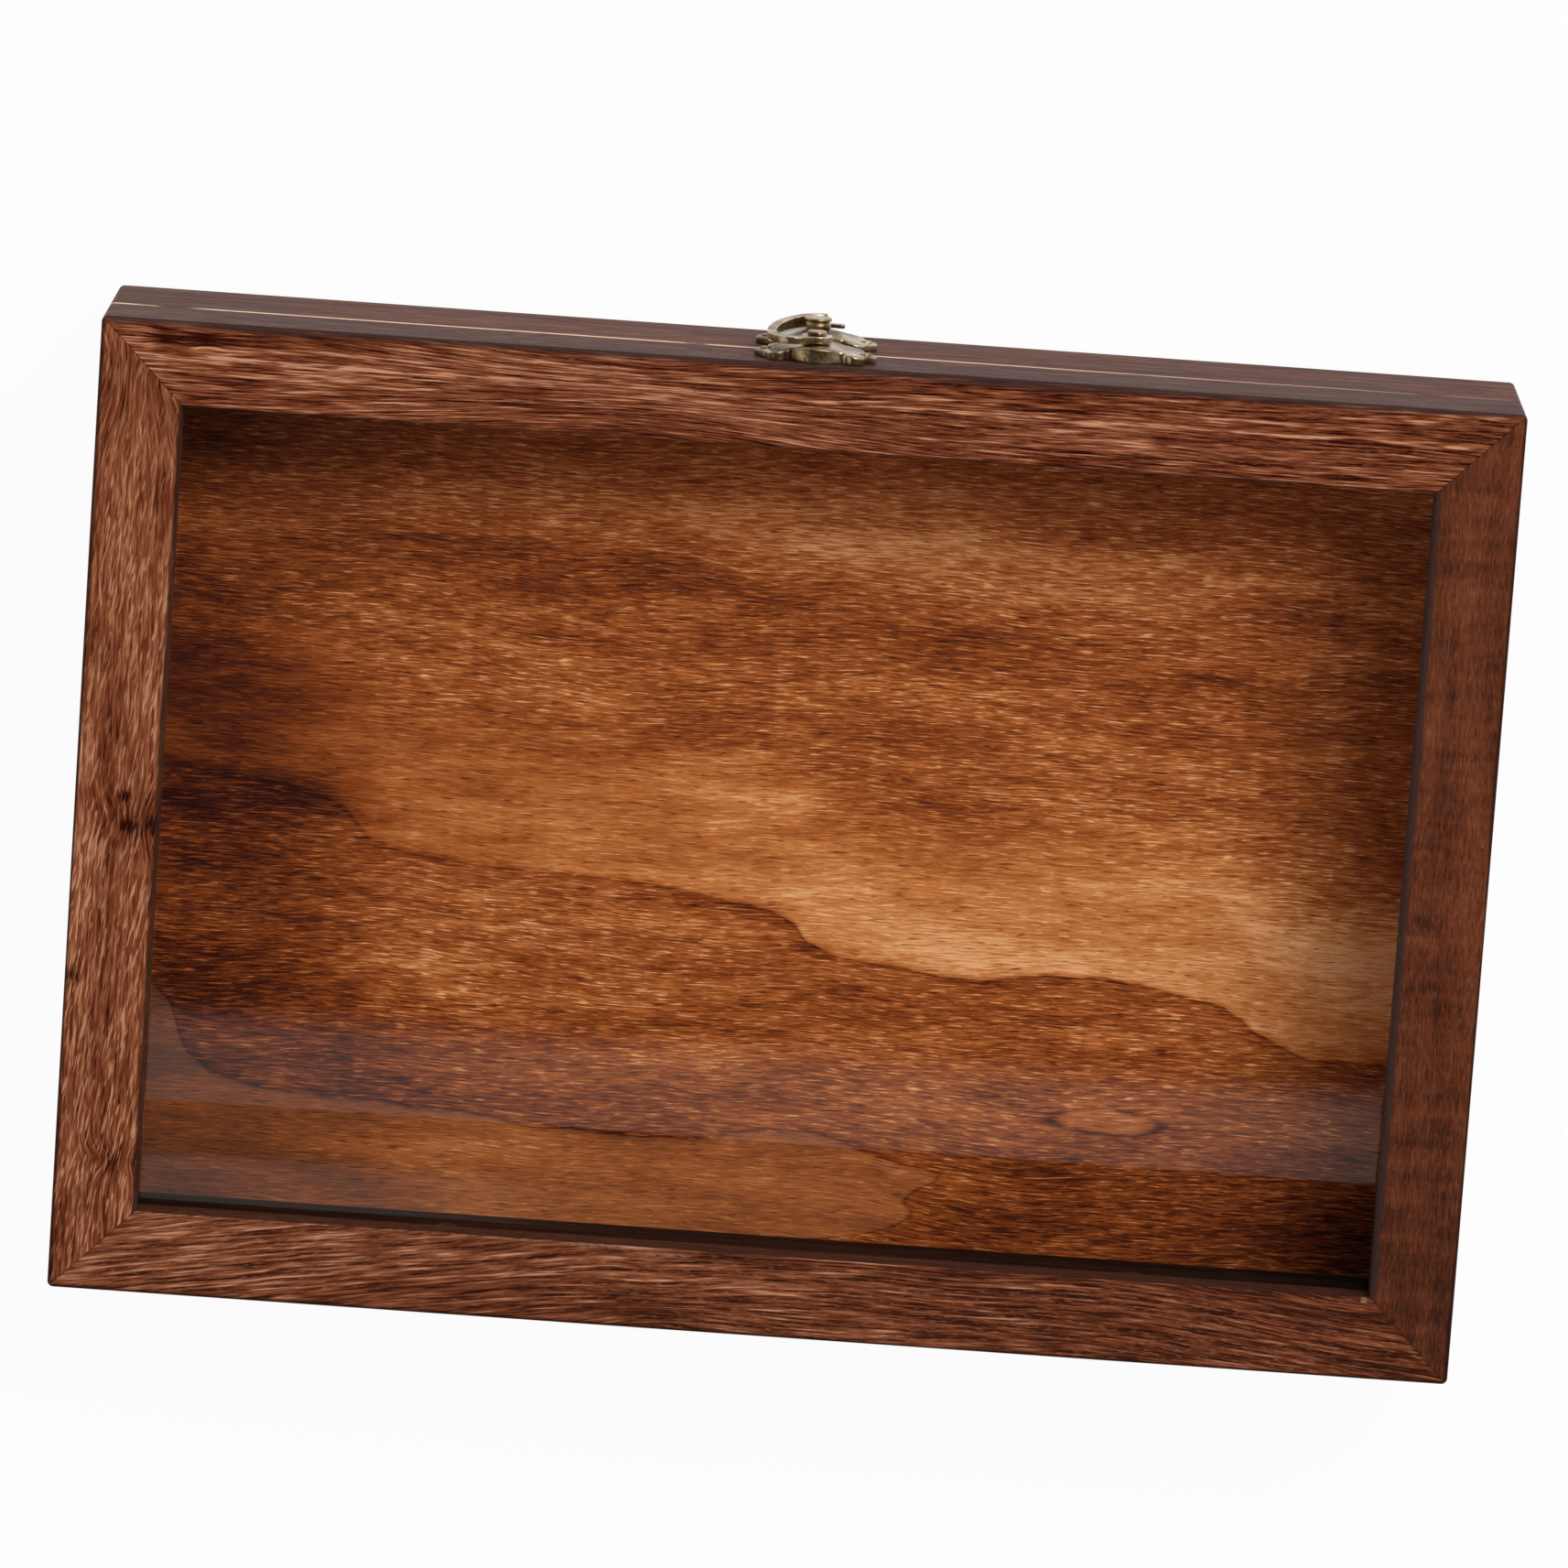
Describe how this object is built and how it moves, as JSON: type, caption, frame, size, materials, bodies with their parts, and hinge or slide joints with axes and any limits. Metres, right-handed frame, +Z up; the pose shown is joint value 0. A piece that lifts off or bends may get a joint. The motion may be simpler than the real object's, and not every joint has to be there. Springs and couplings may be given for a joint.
{
  "type": "glass display case",
  "caption": "Low wooden display case with a glazed lid on rear hinges, a plywood floor and a bronze hook latch on the front.",
  "frame": {"origin": "middle of the underside, on the surface it stands on", "axes": "+Z up, -Y towards the latch at the front, +X to the right as seen from the front"},
  "size_m": [0.35, 0.2561, 0.055],
  "materials": {
    "stained_wood": "dark reddish-brown stained and sealed open grain",
    "plywood": "golden-brown stained rotary-cut veneer",
    "spline_wood": "raw hardwood",
    "clear_glass": "clear float glass",
    "black_plastic": "glossy",
    "antique_bronze": "antique bronze, brighter on worn edges",
    "steel": "plain"
  },
  "bodies": {
    "box": {"box_front_wall": "stained_wood", "box_rear_wall": "stained_wood", "box_left_wall": "stained_wood", "box_right_wall": "stained_wood", "box_corner_splines": "spline_wood", "floor_panel": "plywood", "floor_pins": "steel", "hinge_left_box_leaf": "antique_bronze", "hinge_right_box_leaf": "antique_bronze", "hinge_left_pin": "antique_bronze", "hinge_right_pin": "antique_bronze", "hinge_box_screws": "antique_bronze", "catch_plate": "antique_bronze", "catch_knob": "antique_bronze", "catch_plate_pins": "antique_bronze"},
    "lid": {"lid_front_rail": "stained_wood", "lid_rear_rail": "stained_wood", "lid_left_stile": "stained_wood", "lid_right_stile": "stained_wood", "lid_corner_splines": "spline_wood", "glass_pane": "clear_glass", "glazing_clips": "black_plastic", "glazing_clip_screws": "steel", "hinge_left_lid_leaf": "antique_bronze", "hinge_right_lid_leaf": "antique_bronze", "hinge_lid_screws": "antique_bronze", "hook_plate": "antique_bronze", "hook_plate_pins": "antique_bronze", "hook_rivet": "antique_bronze"},
    "hook": {"hook_arm": "antique_bronze"}
  },
  "joints": [
    {"name": "lid_hinge", "type": "hinge", "parent": "box", "child": "lid", "pos_m": [0, 0.1245, 0.033], "axis": [-1, 0, 0], "range_deg": [0, 180]},
    {"name": "hook_swing", "type": "hinge", "parent": "lid", "child": "hook", "pos_m": [0, -0.1225, 0.044], "axis": [0, -1, 0], "range_deg": [0, 110]}
  ]
}
